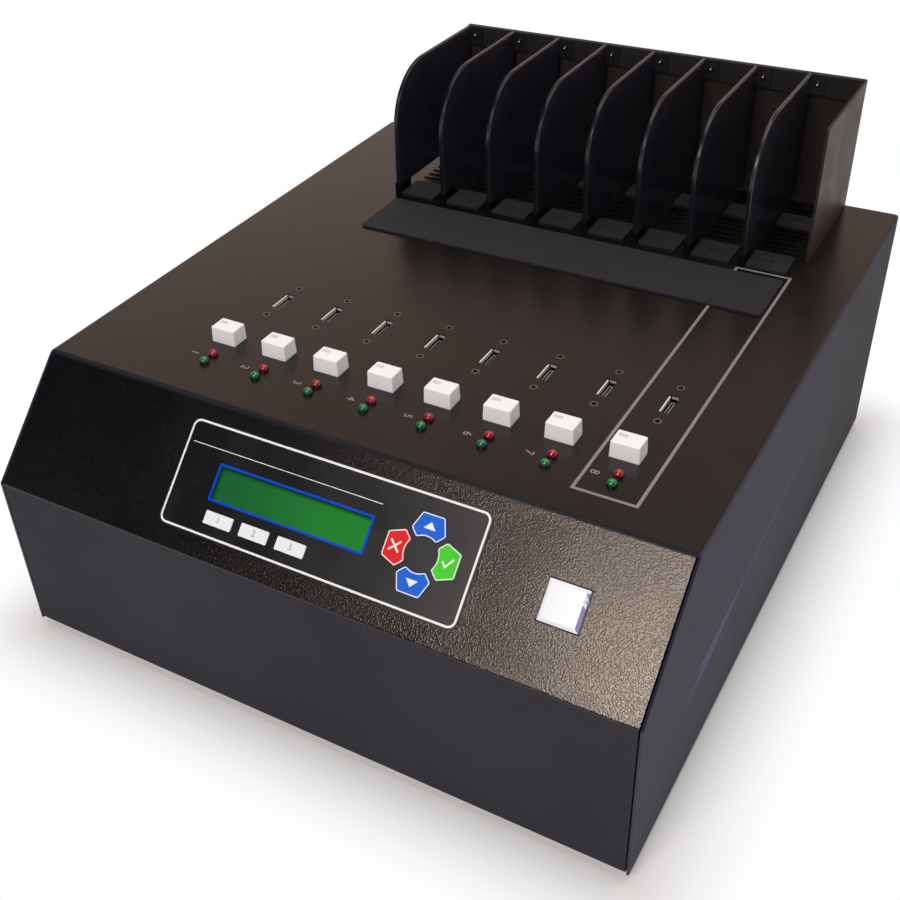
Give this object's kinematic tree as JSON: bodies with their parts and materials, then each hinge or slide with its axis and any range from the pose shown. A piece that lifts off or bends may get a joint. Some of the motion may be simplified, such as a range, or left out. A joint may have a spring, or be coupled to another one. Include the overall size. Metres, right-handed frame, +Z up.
{
  "type": "drive duplicator",
  "caption": "Low desk-top chassis with a sloped control panel, a row of data ports with lamps and push buttons on its flat top, and an open rack of bays for hard drives to be copied.",
  "frame": {"origin": "on the surface that the feet rest on, under the middle of the chassis", "axes": "+X to the right seen from the front, +Y from the front to the rear, +Z up"},
  "size_m": [0.35, 0.392, 0.2275],
  "materials": {
    "cover_paint": "semi-gloss fine-textured black powder coat",
    "front_paint": "coarse wrinkle black powder coat",
    "rack_paint": "satin black powder coat",
    "rubber_black": "matte",
    "mat_grey": "matte foam",
    "screw_black": "blackened",
    "screw_bright": "zinc plated",
    "port_metal": "nickel plated",
    "plastic_black": "fine matte",
    "cap_white": "smooth translucent white",
    "lamp_red": "clear tinted dome",
    "lamp_green": "clear tinted dome",
    "overlay_black": "glossy printed film",
    "display_green": "back-lit display behind clear film",
    "key_white": "satin",
    "key_red": "satin",
    "key_green": "satin",
    "key_blue": "satin",
    "board_green": "solder mask",
    "supply_metal": "galvanised sheet",
    "pin_metal": "nickel plated",
    "cable_red": "flat cable"
  },
  "bodies": {
    "chassis": {"base_tray": "front_paint", "top_cover": "cover_paint", "rubber_feet": "rubber_black", "cover_screws": "screw_black", "rack_bracket": "rack_paint", "rack_rail": "rack_paint", "divider_shoes": "rubber_black", "rail_screws": "screw_bright", "drive_pads": "rubber_black", "rest_mat": "mat_grey", "port_housings": "plastic_black", "port_shells": "port_metal", "port_screws": "screw_black", "lamps_red": "lamp_red", "lamps_green": "lamp_green", "button_switches": "plastic_black", "port_board": "board_green", "control_overlay": "overlay_black", "display_window": "display_green", "display_module": "plastic_black", "key_switches": "plastic_black", "keypad_board": "board_green", "power_switch": "plastic_black", "fan_frames": "plastic_black", "mains_inlet": "plastic_black", "inlet_pins": "pin_metal", "power_supply": "supply_metal", "controller_board": "board_green", "board_standoffs": "screw_bright", "data_cables": "cable_red", "divider_1": "rack_paint", "divider_2": "rack_paint", "divider_3": "rack_paint", "divider_4": "rack_paint", "divider_5": "rack_paint", "divider_6": "rack_paint", "divider_7": "rack_paint", "divider_8": "rack_paint"},
    "port_button_1": {"port_button_1": "cap_white"},
    "port_button_2": {"port_button_2": "cap_white"},
    "port_button_3": {"port_button_3": "cap_white"},
    "port_button_4": {"port_button_4": "cap_white"},
    "port_button_5": {"port_button_5": "cap_white"},
    "port_button_6": {"port_button_6": "cap_white"},
    "port_button_7": {"port_button_7": "cap_white"},
    "port_button_8": {"port_button_8": "cap_white"},
    "key_function_1": {"key_function_1": "key_white"},
    "key_function_2": {"key_function_2": "key_white"},
    "key_function_3": {"key_function_3": "key_white"},
    "key_up": {"key_up": "key_blue"},
    "key_escape": {"key_escape": "key_red"},
    "key_down": {"key_down": "key_blue"},
    "key_enter": {"key_enter": "key_green"},
    "power_button": {"power_button": "cap_white"},
    "rocker": {"rocker": "plastic_black"},
    "fan_rotor_1": {"fan_rotor_1": "plastic_black"},
    "fan_rotor_2": {"fan_rotor_2": "plastic_black"},
    "fan_rotor_3": {"fan_rotor_3": "plastic_black"},
    "fan_rotor_4": {"fan_rotor_4": "plastic_black"}
  },
  "joints": [
    {"name": "port_button_1_press", "type": "slide", "parent": "chassis", "child": "port_button_1", "axis": [0, 0, -1], "range_m": [0, 0.0025], "stiffness_N_per_m": 250, "springref_m": -0.002},
    {"name": "port_button_2_press", "type": "slide", "parent": "chassis", "child": "port_button_2", "axis": [0, 0, -1], "range_m": [0, 0.0025], "stiffness_N_per_m": 250, "springref_m": -0.002},
    {"name": "port_button_3_press", "type": "slide", "parent": "chassis", "child": "port_button_3", "axis": [0, 0, -1], "range_m": [0, 0.0025], "stiffness_N_per_m": 250, "springref_m": -0.002},
    {"name": "port_button_4_press", "type": "slide", "parent": "chassis", "child": "port_button_4", "axis": [0, 0, -1], "range_m": [0, 0.0025], "stiffness_N_per_m": 250, "springref_m": -0.002},
    {"name": "port_button_5_press", "type": "slide", "parent": "chassis", "child": "port_button_5", "axis": [0, 0, -1], "range_m": [0, 0.0025], "stiffness_N_per_m": 250, "springref_m": -0.002},
    {"name": "port_button_6_press", "type": "slide", "parent": "chassis", "child": "port_button_6", "axis": [0, 0, -1], "range_m": [0, 0.0025], "stiffness_N_per_m": 250, "springref_m": -0.002},
    {"name": "port_button_7_press", "type": "slide", "parent": "chassis", "child": "port_button_7", "axis": [0, 0, -1], "range_m": [0, 0.0025], "stiffness_N_per_m": 250, "springref_m": -0.002},
    {"name": "port_button_8_press", "type": "slide", "parent": "chassis", "child": "port_button_8", "axis": [0, 0, -1], "range_m": [0, 0.0025], "stiffness_N_per_m": 250, "springref_m": -0.002},
    {"name": "key_function_1_press", "type": "slide", "parent": "chassis", "child": "key_function_1", "axis": [0, 0.6928, -0.7211], "range_m": [0, 0.0005], "stiffness_N_per_m": 800, "springref_m": -0.0005},
    {"name": "key_function_2_press", "type": "slide", "parent": "chassis", "child": "key_function_2", "axis": [0, 0.6928, -0.7211], "range_m": [0, 0.0005], "stiffness_N_per_m": 800, "springref_m": -0.0005},
    {"name": "key_function_3_press", "type": "slide", "parent": "chassis", "child": "key_function_3", "axis": [0, 0.6928, -0.7211], "range_m": [0, 0.0005], "stiffness_N_per_m": 800, "springref_m": -0.0005},
    {"name": "key_up_press", "type": "slide", "parent": "chassis", "child": "key_up", "axis": [0, 0.6928, -0.7211], "range_m": [0, 0.0005], "stiffness_N_per_m": 800, "springref_m": -0.0005},
    {"name": "key_escape_press", "type": "slide", "parent": "chassis", "child": "key_escape", "axis": [0, 0.6928, -0.7211], "range_m": [0, 0.0005], "stiffness_N_per_m": 800, "springref_m": -0.0005},
    {"name": "key_down_press", "type": "slide", "parent": "chassis", "child": "key_down", "axis": [0, 0.6928, -0.7211], "range_m": [0, 0.0005], "stiffness_N_per_m": 800, "springref_m": -0.0005},
    {"name": "key_enter_press", "type": "slide", "parent": "chassis", "child": "key_enter", "axis": [0, 0.6928, -0.7211], "range_m": [0, 0.0005], "stiffness_N_per_m": 800, "springref_m": -0.0005},
    {"name": "power_button_press", "type": "slide", "parent": "chassis", "child": "power_button", "axis": [0, 0.6928, -0.7211], "range_m": [0, 0.003], "stiffness_N_per_m": 300, "springref_m": -0.002},
    {"name": "rocker_tip", "type": "hinge", "parent": "chassis", "child": "rocker", "pos_m": [-0.118, 0.1928, 0.08], "axis": [0, 0, -1], "range_deg": [0, 18]},
    {"name": "fan_rotor_1_spin", "type": "hinge", "parent": "chassis", "child": "fan_rotor_1", "pos_m": [-0.06675, 0.1526, 0.1248], "axis": [0, 0, 1], "continuous": true},
    {"name": "fan_rotor_2_spin", "type": "hinge", "parent": "chassis", "child": "fan_rotor_2", "pos_m": [0.01725, 0.1526, 0.1248], "axis": [0, 0, 1], "continuous": true},
    {"name": "fan_rotor_3_spin", "type": "hinge", "parent": "chassis", "child": "fan_rotor_3", "pos_m": [0.10125, 0.1526, 0.1248], "axis": [0, 0, 1], "continuous": true},
    {"name": "fan_rotor_4_spin", "type": "hinge", "parent": "chassis", "child": "fan_rotor_4", "pos_m": [0.07, 0.1686, 0.0655], "axis": [0, 1, 0], "continuous": true}
  ]
}
